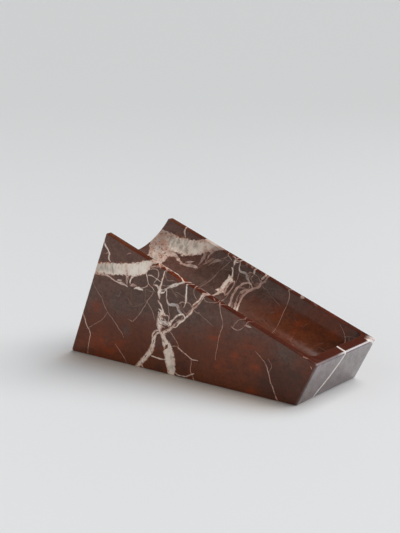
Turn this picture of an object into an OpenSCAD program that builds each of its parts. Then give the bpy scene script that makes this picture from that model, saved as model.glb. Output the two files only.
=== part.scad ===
// Wine bottle holder cut from one solid block of marble.
// The top slopes from the high end down to the low end, and a round trough is cut along it.
// The bottle lies in the trough with its base against the trough's closed low end,
// and its neck reaches out past the high end.
// The origin is on the ground at the middle of the block's overall length and width,
// +X points to the low end and +Z is up.

/* [Block] */
// Length of the foot that stands on the table
foot_length = 244; // [200:1:300]
// Height of the top edge at the high end
high_height = 115; // [100:1:150]
// Height of the top edge at the low end
low_height = 37.5; // [34:0.5:60]
// How far the high end leans in over the foot
high_setback = 45.5; // [0:0.5:60]
// How far the low end leans out past the foot
low_overhang = 19; // [0:0.5:30]
// Bevel of the polished outer edges
edge_bevel = 1.5; // [0.5:0.25:2.5]

/* [Trough] */
// Radius of the trough, a little more than the bottle's
trough_radius = 42.5; // [38:0.5:50]
// Depth of the trough below the sloped top
trough_depth = 28; // [20:0.5:32]
// Width of the flat land left on each side of the trough
side_land = 6; // [5.5:0.5:20]
// Length of the flat land left between the trough and the low end
end_land = 10; // [8:0.5:30]
// Rounding where the trough's wall meets its closed end
end_round = 6; // [2:0.5:12]

/* [Hidden] */
$fn = 96;
marble = [0.33, 0.17, 0.14];
trough_rise = trough_radius - trough_depth;
trough_half = sqrt(trough_radius * trough_radius - trough_rise * trough_rise);
block_width = 2 * (trough_half + side_land);
low_length = foot_length + low_overhang;
slope_angle = atan2(high_height - low_height, low_length - high_setback);
slope_length = norm([low_length - high_setback, high_height - low_height]);
bar_reach = low_length + high_height;
// Side view of the block with sharp corners, from the high end's foot round to its top
corners = [
    [0, 0],
    [foot_length, 0],
    [low_length, low_height],
    [high_setback, high_height]
];
count = len(corners);
// Each corner of the side view cut back by the bevel, as the two ends of the small facet there
facets = [for (i = [0:count - 1]) [toward(i, i - 1), toward(i, i + 1)]];
facet_x = [for (facet = facets, point = facet) point[0]];
middle_x = (min(facet_x) + max(facet_x)) / 2;

function corner(i) = corners[(i + count) % count];

// Point on a side of the block, one bevel away from corner i on the way to corner k
function toward(i, k) =
    let (run = corner(k) - corner(i))
    corner(i) + run * edge_bevel / norm(run);

// Long bar that lies on the line from point a to point b of the side view.
// Its section is drawn with X across the block and Y into it.
module bar_on(a, b) {
    run = b - a;
    translate([a[0], 0, a[1]])
        rotate([0, -atan2(run[1], run[0]), 0])
            rotate([90, 0, 90])
                linear_extrude(height = 2 * bar_reach, center = true)
                    children();
}

// As wide as the block, with both edges of the face on the line bevelled
module bevelled_section() {
    half = block_width / 2;
    polygon([
        [edge_bevel - half, 0],
        [half - edge_bevel, 0],
        [half, edge_bevel],
        [half, bar_reach],
        [-half, bar_reach],
        [-half, edge_bevel]
    ]);
}

// Wider than the block, so that only the face on the line cuts it
module plain_section() {
    translate([-bar_reach, 0])
        square([2 * bar_reach, bar_reach]);
}

// What all the bars share is the block with every outer edge bevelled
module bevelled_block() {
    intersection() {
        intersection_for (i = [0:count - 1])
            bar_on(corner(i), corner(i + 1))
                bevelled_section();
        intersection_for (facet = facets)
            bar_on(facet[0], facet[1])
                plain_section();
    }
}

// Round cutter that lies along the slope and runs out past the high end
module trough_cutter() {
    cut_length = slope_length - end_land + trough_radius;
    corner_x = trough_radius - end_round;
    translate([high_setback, 0, high_height])
        rotate([0, 90 + slope_angle, 0])
            translate([-trough_rise, 0, -trough_radius])
                rotate_extrude() {
                    square([trough_radius, cut_length - end_round]);
                    square([corner_x, cut_length]);
                    translate([corner_x, cut_length - end_round])
                        circle(r = end_round);
                }
}

module marble_block() {
    color(marble)
        translate([-middle_x, 0, 0])
            difference() {
                bevelled_block();
                trough_cutter();
            }
}

marble_block();
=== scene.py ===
import math
import bmesh
import bpy
import numpy as np
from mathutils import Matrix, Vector


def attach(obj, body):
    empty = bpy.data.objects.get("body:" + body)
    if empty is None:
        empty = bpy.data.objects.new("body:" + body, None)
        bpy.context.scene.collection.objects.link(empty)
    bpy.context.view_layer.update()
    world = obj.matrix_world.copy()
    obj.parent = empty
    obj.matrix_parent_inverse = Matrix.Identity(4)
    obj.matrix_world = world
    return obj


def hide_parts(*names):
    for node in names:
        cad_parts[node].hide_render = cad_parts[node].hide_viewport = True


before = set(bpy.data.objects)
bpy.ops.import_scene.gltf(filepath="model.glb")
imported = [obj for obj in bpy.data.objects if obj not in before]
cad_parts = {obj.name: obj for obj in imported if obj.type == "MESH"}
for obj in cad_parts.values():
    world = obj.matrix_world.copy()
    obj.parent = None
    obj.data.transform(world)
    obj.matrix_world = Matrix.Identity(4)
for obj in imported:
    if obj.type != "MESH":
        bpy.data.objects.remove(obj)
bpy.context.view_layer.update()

mm = 0.001                      # shapes are worked out in millimetres, then written in metres
joinWithin = 2e-6               # metres: points nearer than this are one point
tiny = 1e-6                     # keeps divisions from zero

# The block as the CAD has it. x runs from the foot's high end, z up, y across.
block = {
    "footLength": 244.0,
    "highHeight": 115.0,
    "lowHeight": 37.5,
    "highSetback": 45.5,
    "lowOverhang": 19.0,
    "middleX": 131.437,     # this x is x = 0 of the finished model
    "troughRadius": 42.5,
    "troughDepth": 28.0,
    "sideLand": 6.0,
    "endLand": 10.0,
    "endRound": 6.0,
    "edgeRadius": 1.9,      # rounding of the outer edges
    "rimRadius": 0.8,       # rounding of the trough's rim
    "rimZone": 3.0,         # points this near to the trough get the rim's rounding
    "roundingTurns": 40,    # how often a point is drawn onto the sides in turn
    "cornerClear": 2.5,     # from the trough's corner to the low land's corner grid, in y
    "stepsLong": 190,       # mesh steps along the block
    "stepsHigh": 70,        # up the sides and ends
    "stepsArc": 80,         # round the trough
    "stepsLand": 14,        # across a land, and round the trough's end corner
    "stepsWall": 20,        # up the trough's end wall
}
outerSteps = [0, 0.5, 1.0, 1.5, 2.0]       # close rows beside an outer edge
rimSteps = [0, 0.2, 0.45, 0.7, 1.0]         # close rows beside the trough's rim

axisRise = block["troughRadius"] - block["troughDepth"]
halfMouth = math.sqrt(block["troughRadius"] ** 2 - axisRise ** 2)
halfWidth = halfMouth + block["sideLand"]
footHigh = np.array([0.0, 0.0])
footLow = np.array([block["footLength"], 0.0])
topLow = np.array([block["footLength"] + block["lowOverhang"], block["lowHeight"]])
topHigh = np.array([block["highSetback"], block["highHeight"]])
slopeLength = float(np.linalg.norm(topLow - topHigh))
alongSlope = (topLow - topHigh) / slopeLength
belowSlope = np.array([alongSlope[1], -alongSlope[0]])      # straight down into the block
troughEnd = slopeLength - block["endLand"]


# Slope distance s, side y and depth d become x, y, z: the high corner plus s along the slope
# plus d straight down from it.
def fromSlope(s, y, d):
    s, y, d = np.broadcast_arrays(s, y, d)
    x = topHigh[0] + s * alongSlope[0] + d * belowSlope[0]
    z = topHigh[1] + s * alongSlope[1] + d * belowSlope[1]
    return np.stack([x, y, z], axis=-1)


# The way back: the slope distance, the side and the depth of points.
def toSlope(points):
    flat = points[:, [0, 2]] - topHigh
    return flat @ alongSlope, points[:, 1], flat @ belowSlope


# Fractions from 0 to 1 on lines of these lengths: the near and far steps are true distances
# from the two ends, but at most a third of the line each, and the rest is even between them.
def spread(lengths, count, near, far):
    lengths = np.maximum(np.atleast_1d(lengths), tiny)[:, None]
    near, far = np.array(near), np.array(far)[::-1]
    squeeze = np.minimum(1, lengths / (3 * (near[-1] + far[0])))
    start = near * squeeze / lengths
    stop = 1 - far * squeeze / lengths
    inner = np.linspace(0, 1, count + 3 - len(near) - len(far))[1:-1]
    middle = start[:, -1:] + (stop[:, :1] - start[:, -1:]) * inner
    return np.hstack([start, middle, stop])


# Straight lines from each point of one edge to the same point of another.
def ruled(first, second, count, near, far):
    lengths = np.linalg.norm(second - first, axis=-1)
    share = spread(lengths, count, near, far)[..., None]
    return first[:, None, :] * (1 - share) + second[:, None, :] * share


# A point of the trough: at slope distance s on a circle of this radius round the trough's axis,
# where turn runs from -1 to 1 between the two places where that circle meets the top.
def troughPoint(s, radius, turn):
    limit = np.arccos(np.clip(axisRise / radius, -1, 1))
    return fromSlope(s, radius * np.sin(turn * limit), radius * np.cos(turn * limit) - axisRise)


# All faces of the block as grids that share their edge points.
def blockPatches():
    b = block
    long, high, arc, land = b["stepsLong"], b["stepsHigh"], b["stepsArc"], b["stepsLand"]
    straightEnd = troughEnd - b["endRound"]
    arcLength = 2 * b["troughRadius"] * math.acos(axisRise / b["troughRadius"])
    turns = 2 * spread(arcLength, arc, rimSteps, rimSteps)[0] - 1
    along = spread(slopeLength, long, outerSteps, outerSteps)[0]
    # trough: straight part, which starts on the sloping high end, then its round corner and wall
    endNormal = np.array([-topHigh[1], topHigh[0]])
    lean = -(endNormal @ belowSlope) / (endNormal @ alongSlope)
    depthOfTurn = toSlope(troughPoint(0, b["troughRadius"], turns))[2]
    starts = lean * depthOfTurn
    s = starts + (straightEnd - starts) * along[:, None]
    straight = troughPoint(s, b["troughRadius"], turns[None, :])
    bend = np.linspace(0, math.pi / 2, land + 1)[:, None]
    innerRadius = b["troughRadius"] - b["endRound"]
    corner = troughPoint(
        straightEnd + b["endRound"] * np.sin(bend),
        innerRadius + b["endRound"] * np.cos(bend),
        turns[None, :],
    )
    wallFoot = corner[-1]
    chord = fromSlope(troughEnd, wallFoot[:, 1], 0.0)
    wall = ruled(wallFoot, chord, b["stepsWall"], [0], rimSteps)
    # lands: from the trough's rim to the block's upper edge, round three sides
    rim = np.concatenate([
        straight[:, 0], corner[1:, 0], chord[1:-1], corner[::-1, -1], straight[-2::-1, -1],
    ])
    share = spread(halfWidth, land, outerSteps, [0])[0]
    innerY = chord[-1, 1] + b["cornerClear"]
    cornerY = -halfWidth + (halfWidth - innerY) * share
    chordY = chord[1:-1, 1] * innerY / chord[-1, 1]
    lowY = np.concatenate([cornerY[1:], chordY, -cornerY[:0:-1]])
    edge = np.concatenate([
        fromSlope(along * slopeLength, -halfWidth, 0.0),
        fromSlope(slopeLength, lowY, 0.0),
        fromSlope(along[::-1] * slopeLength, halfWidth, 0.0),
    ])
    lands = ruled(rim, edge, land, rimSteps, outerSteps)
    # sides, ends and foot, down from those edges
    footX = spread(b["footLength"], long, outerSteps, outerSteps)[0] * b["footLength"]
    zero = np.zeros(long + 1)
    frontFoot = np.stack([footX, zero - halfWidth, zero], axis=-1)
    backFoot = np.stack([footX, zero + halfWidth, zero], axis=-1)
    highTop = np.concatenate([lands[0, ::-1], straight[0, 1:-1], lands[-1]])
    highFoot = highTop * [0, 1, 0]
    lowTop = edge[long:-long]
    lowFoot = lowTop * [0, 1, 0] + [b["footLength"], 0, 0]
    upright = [ruled(lower, upper, high, outerSteps, outerSteps) for lower, upper in (
        (frontFoot, edge[:long + 1]), (backFoot, edge[:-long - 2:-1]),
        (highFoot, highTop), (lowFoot, lowTop),
    )]
    share = (footX / b["footLength"])[None, :, None]
    foot = highFoot[:, None] * (1 - share) + lowFoot[:, None] * share
    return [straight, corner, wall, lands, *upright, foot]


# One closed mesh of all the patches: each grid gives its quads, and shared points are joined.
def joinPatches(name, patches):
    points, quads, used = [], [], 0
    for patch in patches:
        rows, columns = patch.shape[:2]
        index = used + np.arange(rows * columns).reshape(rows, columns)
        corners = [index[:-1, :-1], index[1:, :-1], index[1:, 1:], index[:-1, 1:]]
        quads.append(np.stack(corners, axis=-1).reshape(-1, 4))
        points.append(patch.reshape(-1, 3))
        used += rows * columns
    mesh = bpy.data.meshes.new(name)
    mesh.from_pydata(np.concatenate(points) * mm, [], np.concatenate(quads).tolist())
    work = bmesh.new()
    work.from_mesh(mesh)
    bmesh.ops.remove_doubles(work, verts=work.verts, dist=joinWithin)
    bmesh.ops.recalc_face_normals(work, faces=work.faces)
    work.to_mesh(mesh)
    work.free()
    return mesh


# Unit normal pointing out and offset of the block's six flat sides.
def flatSides():
    sides = []
    outline = [footHigh, footLow, topLow, topHigh]
    for first, second in zip(outline, outline[1:] + outline[:1]):
        way = (second - first) / np.linalg.norm(second - first)
        out = np.array([way[1], 0.0, -way[0]])
        sides.append((out, float(out[[0, 2]] @ first)))
    sides.append((np.array([0.0, -1.0, 0.0]), halfWidth))
    sides.append((np.array([0.0, 1.0, 0.0]), halfWidth))
    return sides


# How far points are outside the trough's surface, in the stone, and the way straight out of it:
# the distance to a tube with a rounded end, in its slope distance and its radius.
def troughDistance(points):
    s, y, d = toSlope(points)
    radius = np.hypot(y, d + axisRise)
    corner = block["endRound"]
    qs = s - (troughEnd - corner)
    qr = radius - (block["troughRadius"] - corner)
    reach = np.hypot(np.maximum(qs, 0), np.maximum(qr, 0))
    distance = reach - corner + np.minimum(np.maximum(qs, qr), 0)
    inCorner = (qs > 0) & (qr > 0)
    safe = np.maximum(reach, tiny)
    ws = np.where(inCorner, qs / safe, (qs >= qr) * 1.0)
    wr = np.where(inCorner, qr / safe, (qs < qr) * 1.0)
    wy = wr * y / np.maximum(radius, tiny)
    wd = wr * (d + axisRise) / np.maximum(radius, tiny)
    way = np.stack([
        ws * alongSlope[0] + wd * belowSlope[0], wy, ws * alongSlope[1] + wd * belowSlope[1],
    ], axis=-1)
    return distance, way


# Rounds sharp edges. Each point is drawn to its nearest point of the same solid made smaller by
# the radius, found by turns of projections onto its sides, and is then set one radius from it.
def roundEdges(points, sides, radius, withTrough):
    near = points.copy()
    count = len(sides) + int(withTrough)
    kept = [np.zeros_like(points) for _ in range(count)]
    for _ in range(block["roundingTurns"]):
        for k in range(count):
            moved = near + kept[k]
            if k < len(sides):
                out, offset = sides[k]
                over = np.maximum(moved @ out - (offset - radius), 0)
                near = moved - over[:, None] * out
            else:
                distance, way = troughDistance(moved)
                near = moved + np.maximum(radius - distance, 0)[:, None] * way
            kept[k] = moved - near
    arm = points - near
    length = np.linalg.norm(arm, axis=1, keepdims=True)
    return near + arm * np.minimum(1, radius / np.maximum(length, tiny))


# A new object with this data, at the origin, in the scene.
def put(name, data):
    thing = bpy.data.objects.new(name, data)
    bpy.context.collection.objects.link(thing)
    return thing


blockMesh = joinPatches("marbleHolder", blockPatches())
flatPoints = np.empty(len(blockMesh.vertices) * 3)
blockMesh.vertices.foreach_get("co", flatPoints)
sharp = flatPoints.reshape(-1, 3) / mm
sides = flatSides()
rounded = roundEdges(sharp, sides, block["edgeRadius"], False)
byRim = np.abs(troughDistance(rounded)[0]) < block["rimZone"]
rimSides = [sides[2], sides[3]]     # the sloped top and the high end
rounded[byRim] = roundEdges(rounded[byRim], rimSides, block["rimRadius"], True)
finished = (rounded - [block["middleX"], 0, 0]) * mm
blockMesh.vertices.foreach_set("co", finished.ravel())
blockMesh.polygons.foreach_set("use_smooth", np.ones(len(blockMesh.polygons), bool))
blockMesh.update()
holder = put("marbleHolder", blockMesh)
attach(holder, "root")
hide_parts("marble_block")
print("block:", len(blockMesh.vertices), "points,", len(blockMesh.polygons), "faces")

# The veins, as they run over the front side: a strength from 0 to 1, a tint from -1 (cool grey)
# over 0 (ivory) to 1 (pink), then points of x, z and half the vein's width in millimetres.
frontVeins = [
    # the broad ivory band, its pink lower margin and what hangs from it
    (1, 0, [(-12, 77, 5), (8, 79.5, 5), (20, 81, 4.4), (30, 82, 4.2), (40, 82.8, 4.5),
     (45, 82.9, 4.9), (50, 83.6, 5.7), (60, 84.5, 5.4), (70, 86, 5.5), (78, 87, 5.8),
     (84, 88.8, 5.8), (90, 91.2, 4.9), (94, 94, 3.2), (97, 96, 1.7), (102, 96.8, 1.1),
     (107, 96.5, 0.7)]),
    (0.88, 0.4, [(-12, 71, 1.5), (10, 75, 1.5), (28, 77.3, 1.3), (34, 77.7, 1.4), (40, 77.6, 1.3),
     (45, 77.4, 1), (49, 76.6, 0.55), (52.5, 75, 0.45), (56, 73.2, 0.5), (59.5, 72.6, 0.6),
     (62, 73.3, 0.8)]),
    (0.8, -0.6, [(58.6, 74.6, 0.4), (60.4, 74.9, 0.7), (62.4, 75.2, 0.4)]),
    (0.9, -0.5, [(61.5, 72.3, 0.5), (63.8, 72.5, 1), (66.5, 72, 0.7), (69, 70.9, 0.5)]),
    (0.9, -0.2, [(43.4, 110.5, 0.4), (43.4, 107.5, 0.6), (44.2, 105, 1), (45.6, 103, 0.9),
     (47, 101.4, 0.6), (48.6, 99.3, 0.6), (49.7, 96.8, 0.8), (48.9, 94.3, 0.8), (48.4, 92.6, 0.8),
     (50.2, 90.6, 0.5)]),
    (0.6, 0.3, [(48.3, 98.2, 0.32), (46.4, 96.8, 0.32), (44.6, 96.1, 0.24)]),
    (0.55, 0.9, [(69.5, 80, 1.4), (69.3, 77, 1.4), (69, 74, 1)]),
    (0.95, 0, [(76.3, 80.5, 0.7), (74.4, 79.2, 0.8), (73.1, 77.4, 0.7), (72.7, 74.5, 0.5)]),
    (0.7, 1, [(73.5, 72.5, 0.9), (76.3, 73.2, 1.5), (78.5, 73.2, 0.8)]),
    (1, -0.1, [(78, 70.5, 0.7), (80.5, 71.4, 1.3), (83, 71, 1.3), (86, 70.4, 0.6)]),
    (0.7, 0, [(86.3, 72.2, 0.3), (88.7, 72.5, 0.4), (90.7, 73.6, 0.4), (92.2, 75.2, 0.4)]),
    (0.35, 0, [(69.3, 99, 0.24), (72.3, 100.3, 0.6), (74, 100.6, 0.24)]),
    # the net under the band's tip
    (0.85, 0, [(91.4, 86.6, 0.5), (91.3, 84.3, 0.5), (92.3, 82, 0.4), (92.5, 79, 0.35),
     (93.2, 76.6, 0.4), (95.5, 75.2, 0.5), (97.5, 74, 0.4), (99.3, 72.2, 0.3)]),
    (0.8, -0.1, [(93, 84.4, 0.4), (95.2, 84.9, 0.45), (97.6, 84.4, 0.45), (99.7, 83.4, 0.45),
     (101.7, 82.6, 0.5), (103.4, 82.2, 0.55), (105.3, 81.6, 0.35), (107.6, 80.4, 0.3)]),
    (0.7, 1, [(93.4, 90.6, 0.5), (95.2, 91.6, 0.7), (98, 92.3, 0.5), (101.5, 93.3, 0.8),
     (104.5, 93.4, 0.9), (107, 94, 0.7), (109.5, 93, 0.6)]),
    (0.7, -0.2, [(96.3, 89.9, 0.3), (98.2, 90.6, 0.4), (100.6, 90.9, 0.4), (103, 90.8, 0.4),
     (104.4, 89.4, 0.45), (104.7, 87.4, 0.5), (104.3, 85.2, 0.5), (103.7, 83.2, 0.5),
     (102.2, 81.4, 0.35), (100.8, 80, 0.3), (99.4, 78.2, 0.3)]),
    (0.35, 0.3, [(107, 77.3, 0.32), (110.5, 78, 0.4), (113.5, 77.8, 0.4), (116, 78.6, 0.32)]),
    (0.4, 0.2, [(112.4, 90, 0.32), (112, 86.5, 0.32), (113.4, 83.4, 0.32), (116, 82.7, 0.32),
     (119, 83.3, 0.32), (122.4, 83.2, 0.24)]),
    # the trunk: a thread at the rim, a knot, a narrow waist, then the broad right leg
    (0.95, 0.1, [(111.6, 93, 0.4), (110.6, 88.5, 0.45), (109.4, 84.8, 0.55), (108.4, 81, 0.5),
     (107.2, 78, 0.6), (106.2, 76, 0.9), (105.8, 73.3, 1.7), (104.8, 71, 2.1), (105.1, 69, 1.3),
     (105.3, 67, 0.6)]),
    (0.6, 0.4, [(105.3, 67, 0.4), (105.6, 65, 0.28), (104.6, 63, 0.4)]),
    (0.95, 0.25, [(104.3, 62.8, 0.6), (105.8, 61.8, 0.8), (107, 60.2, 0.7), (107.6, 58.5, 0.6),
     (108.6, 56.8, 0.7), (109.2, 54.8, 1.3), (107.6, 53.2, 2.3), (106.6, 51, 2.6), (106, 48.5, 3),
     (105.8, 46, 3.3), (105.4, 43.5, 3.1), (104.9, 41, 2.7), (104.8, 39, 2.1), (105.8, 37, 1.5),
     (107.5, 34.8, 1.7), (109.2, 32.5, 2.7), (110.2, 30, 3.1), (112, 27.4, 4.2), (113.7, 25, 4.7),
     (114.5, 22, 5), (115.4, 18, 5.5), (116.3, 14, 5.7), (117, 10, 5.4), (117.4, 6, 4.8),
     (117.6, 2, 3.8), (117.6, 0, 3.2), (117.6, -8, 3.2), (118, -20, 3)]),
    (1, 0, [(105.3, 56, 0.5), (106.8, 55, 0.8), (109, 54, 1.2), (111, 53, 0.6)]),
    (1, 0, [(104.3, 53, 0.5), (104, 50, 0.6), (104.2, 47, 0.8)]),
    (0.9, 0, [(104.4, 74, 0.8), (103.4, 76, 0.8), (101.6, 76.9, 0.6), (99.9, 76.6, 0.4)]),
    (0.95, 0, [(106.5, 70.8, 0.9), (109.3, 71.2, 0.6), (111.2, 72.6, 0.5), (112.8, 74.8, 0.5)]),
    (0.9, 0, [(107, 73.4, 0.6), (109.3, 73.5, 0.5), (111.3, 74.6, 0.4)]),
    (0.95, -0.4, [(107.5, 46.5, 1.3), (110.3, 46, 1.7), (113, 44.7, 0.9), (115, 44.2, 0.7)]),
    (0.7, 1, [(106.8, 41, 0.6), (108.8, 41.6, 0.7), (110.3, 41.3, 0.4)]),
    (0.75, 0.8, [(108.8, 52, 0.4), (110.8, 51.6, 0.5), (112.6, 52.2, 0.5), (114.5, 52.2, 0.45),
     (115.4, 50.6, 0.45), (115.2, 48.5, 0.45), (114.4, 46.6, 0.5), (113.6, 45.2, 0.5)]),
    (0.7, -0.8, [(110.6, 49.2, 0.5), (111.4, 47.8, 0.5), (112.6, 46.8, 0.4)]),
    (0.5, -0.3, [(114.5, 62, 0.28), (115.2, 59, 0.32), (115.4, 56, 0.32), (116.2, 53.4, 0.36),
     (116.2, 51, 0.32), (115.4, 49, 0.32)]),
    # the left leg, which starts as two strands
    (0.88, 0.4, [(104, 37.8, 0.7), (102, 37.2, 0.7), (99.9, 36.1, 0.75), (98.2, 34.4, 0.75),
     (97.3, 32.4, 0.75), (97.2, 30.5, 0.9)]),
    (0.95, 0.45, [(104.6, 35.9, 0.7), (102.6, 34.8, 0.8), (101, 32.8, 0.8), (99.6, 30.3, 1.5),
     (98.3, 27, 2.1), (97.5, 24, 2.2), (96.5, 21, 2.3), (94.9, 18, 2.4), (92.8, 15, 2.4),
     (90.2, 12, 2.4), (87.5, 9, 2.3), (84.5, 6, 2), (81.5, 3, 1.7), (79, 0.7, 1.6), (76, -2, 1.6),
     (70, -8, 1.5)]),
    (0.85, 0.3, [(83.6, 4.6, 0.9), (84.7, 2.9, 0.8), (85.7, 0.9, 0.6)]),
    (0.85, 0, [(96, 13.3, 0.5), (98.5, 13, 0.55), (102, 12.6, 0.5), (106, 12.3, 0.6),
     (110, 12.9, 0.5), (112, 13, 0.4)]),
    # the grey hook and the arm that reaches the rim
    (0.85, -0.3, [(113, 75, 0.5), (113, 71, 0.5), (112.9, 67, 0.5), (113.3, 64.8, 0.7),
     (114.4, 63, 0.9), (116, 61.9, 0.9), (117.6, 61.8, 1)]),
    (0.78, -1, [(117.2, 61.9, 0.9), (119.6, 62.5, 1.4), (122, 62.8, 1.3), (123.8, 62.7, 0.9)]),
    (0.55, 0.9, [(123.6, 63.4, 0.7), (125.2, 63.2, 0.9), (126.2, 61.5, 0.7)]),
    (0.75, -1, [(124.7, 61.4, 1), (125.8, 59.6, 1.6), (127, 57.9, 1.5), (128.8, 57.2, 0.7)]),
    (0.95, -0.35, [(113, 75.4, 0.5), (115, 76.6, 0.7), (117.8, 77.9, 1.3), (120.3, 79.3, 1.7),
     (122.7, 80.2, 1.4), (125, 81.1, 1), (127.5, 82.2, 0.9), (130, 83.1, 1), (131.5, 83.9, 0.9),
     (132.5, 84.4, 0.5)]),
    (0.3, -0.3, [(119.4, 75.4, 0.32), (121.4, 73, 0.32), (124, 70.5, 0.32)]),
    (0.3, -0.3, [(124, 74, 0.32), (128, 73, 0.32), (132.7, 71.4, 0.32)]),
    (1, -0.1, [(135.6, 87, 0.5), (135, 84.5, 0.6), (134.5, 82.4, 0.65), (134.4, 79, 0.65),
     (134.5, 75.5, 0.65), (134.3, 72.5, 0.7), (134, 70, 0.95), (133.7, 68, 0.95),
     (133.3, 66.3, 0.5)]),
    (0.55, 0.2, [(142.6, 84, 0.32), (142, 81, 0.36), (142, 78, 0.4), (142.3, 75, 0.36),
     (143.5, 73, 0.32), (144.8, 71.6, 0.28)]),
    # the right arm in two strands, white to the left and pink to the right
    (1, -0.1, [(149.3, 81, 0.5), (150.4, 78.8, 0.8), (151.8, 76.4, 1.3), (150.5, 74.5, 1),
     (149.2, 72.6, 0.9), (147.6, 70.7, 0.7), (145.4, 69.2, 0.75), (144, 67.7, 0.85),
     (142.6, 66.5, 0.7), (141.7, 65.7, 0.5)]),
    (0.8, 0.8, [(152.6, 75.6, 0.8), (151.5, 73.6, 0.7), (150, 71.4, 0.6), (148.4, 69.4, 0.6),
     (146.8, 67.4, 0.7), (145.3, 65.4, 0.8), (143.6, 64.2, 0.85), (142, 63.2, 0.8),
     (140.8, 61.9, 0.8)]),
    (0.97, 0.1, [(140.6, 61.8, 0.9), (139.9, 59.7, 0.9), (138.6, 58, 0.75), (135, 55, 0.75),
     (132.3, 52.5, 0.8), (130, 50.4, 0.8), (127.5, 48.3, 0.7), (125.5, 46.8, 0.7),
     (124.7, 45.2, 0.5), (123.8, 43.9, 0.5), (121.7, 43.2, 0.45), (120, 42.9, 0.4)]),
    (0.8, 0.3, [(154, 76, 0.6), (156.2, 77.2, 0.6), (159, 78, 0.4), (163, 78.2, 0.3)]),
    (0.45, -0.2, [(152.5, 73, 0.32), (154.2, 71.4, 0.32), (156.3, 70.6, 0.4), (159, 71.1, 0.24),
     (164, 71.6, 0.2), (169, 71.8, 0.16)]),
    (0.8, 0.7, [(130, 50.8, 0.4), (127.3, 49.8, 0.5), (125.3, 48.7, 0.75), (123.7, 47.6, 0.8),
     (122, 46.2, 0.8), (120.8, 44.7, 0.7), (119.4, 43.2, 0.9), (118, 41.9, 1)]),
    (0.95, 0, [(132.6, 53.2, 0.6), (132.2, 54.9, 0.7), (130.8, 55.9, 0.8), (128.8, 55.9, 0.8),
     (126.6, 55, 0.75), (124.8, 53.8, 0.75), (123, 52.3, 0.85), (121.3, 50.8, 0.75),
     (119.7, 49.4, 0.7), (118.3, 47.9, 0.95), (117, 46.6, 1.4), (115.9, 45.2, 1.8),
     (115.3, 43.6, 1.4), (115.6, 42.2, 0.8)]),
    (0.95, 0.5, [(118.8, 42.8, 1), (117, 41.2, 1.4), (115.4, 40, 1.6), (113.6, 38.8, 1.7),
     (111.8, 37.6, 1.8), (110, 36.2, 1.9), (108.6, 34.4, 2.1)]),
    (0.5, -0.4, [(120.6, 49.6, 0.28), (124, 49.9, 0.28), (127.5, 50.6, 0.28), (129.7, 51.4, 0.24)]),
    (0.6, 0.2, [(129.5, 52.2, 0.4), (130, 53.6, 0.4)]),
    # the ring beside it and what it holds
    (0.6, -0.1, [(127, 64.8, 0.4), (128.3, 66.2, 0.6), (130.4, 66.8, 0.32), (132.5, 66.5, 0.32),
     (136, 66.9, 0.32), (138.3, 66.3, 0.36), (139.8, 64.6, 0.36), (140.4, 63, 0.4)]),
    (0.75, 0, [(131.2, 62.4, 0.4), (132, 63.4, 0.55), (132.9, 64.7, 0.35)]),
    (0.55, 0.9, [(130.6, 60.8, 0.24), (131.3, 58.9, 0.6), (133.6, 57.6, 0.4), (134.3, 56.4, 0.32)]),
    (0.4, 1, [(134, 57.3, 0.6), (136.3, 58.6, 0.9), (138.6, 60.4, 0.8)]),
    (0.4, 0.8, [(128.7, 64.2, 0.32), (128.4, 61.5, 0.32), (129.6, 59.4, 0.32)]),
    # threads to the right of it
    (0.5, -0.1, [(141.6, 62, 0.24), (142.7, 61, 0.36), (144.4, 59.9, 0.36), (147.4, 60.3, 0.28)]),
    (0.32, 0.2, [(147.4, 60.3, 0.24), (150, 58.4, 0.32), (152.5, 56.6, 0.32), (155.2, 55.4, 0.28),
     (158.5, 53.3, 0.24), (162.7, 51.4, 0.16)]),
    (0.5, 0.1, [(168.3, 74.5, 0.6), (168.6, 71.4, 0.5), (169.3, 66.8, 0.4), (170, 62.3, 0.4),
     (172, 57.7, 0.4), (172, 53.2, 0.35), (170, 47.7, 0.35), (167.7, 40.5, 0.3), (166.4, 34, 0.25),
     (165, 26.8, 0.2), (164.5, 23.2, 0.15)]),
    (0.42, 0, [(181.8, 53.2, 0.24), (184.5, 57.7, 0.28), (188.2, 61, 0.28), (192.7, 62.1, 0.32),
     (196.6, 61, 0.28), (195.5, 58.6, 0.4), (192.7, 56, 0.32), (190, 53.4, 0.28),
     (185.5, 52.4, 0.28), (181.8, 53.2, 0.24)]),
    (0.62, -0.4, [(194.5, 57.6, 0.4), (197, 57.2, 1), (200, 56.8, 0.4)]),
    (0.6, 0, [(181.4, 53.8, 0.3), (183, 52.7, 0.5), (185.6, 52.3, 0.3)]),
    (0.65, 0.4, [(205.5, 37.3, 0.2), (210, 34, 0.25), (214.5, 29.5, 0.3), (216.8, 25, 0.35),
     (218.2, 20.5, 0.35), (220, 15, 0.4), (222.7, 9.5, 0.5), (225, 4, 0.5), (226.5, 0, 0.5),
     (228, -8, 0.4)]),
    (0.36, 0.2, [(217.2, 33.2, 0.16), (219.8, 30.4, 0.28), (220.4, 27.6, 0.28),
     (218.4, 23.4, 0.2)]),
    # this streak on the front's upper edge near the low end is a painted highlight; the rust spot
    # at x 252 gives it its orange
    (0.75, 0.9, [(248.6, 42.3, 0.25), (251, 41.4, 0.4), (253.4, 40.5, 0.3)]),
    (0.7, 0.2, [(257.4, 34.8, 0.35), (257.9, 34.3, 0.35)]),
    # the open mesh between the legs and the foot's front edge
    (0.5, -0.2, [(116.5, 39, 0.32), (118.5, 37.3, 0.4), (121, 34.5, 0.4), (123.3, 31.3, 0.4),
     (124.7, 29.4, 0.36), (125.4, 28, 0.32)]),
    (0.5, 0.3, [(118.5, 25.8, 0.32), (121, 26.3, 0.32), (124, 27, 0.32)]),
    (0.75, 0.2, [(125.5, 26.2, 0.5), (128, 24.6, 0.5), (130.5, 23.4, 0.5), (133, 22, 0.5),
     (135.7, 20.7, 0.45), (138.5, 19.1, 0.5), (142, 18.5, 0.4), (146, 18.8, 0.3)]),
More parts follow.
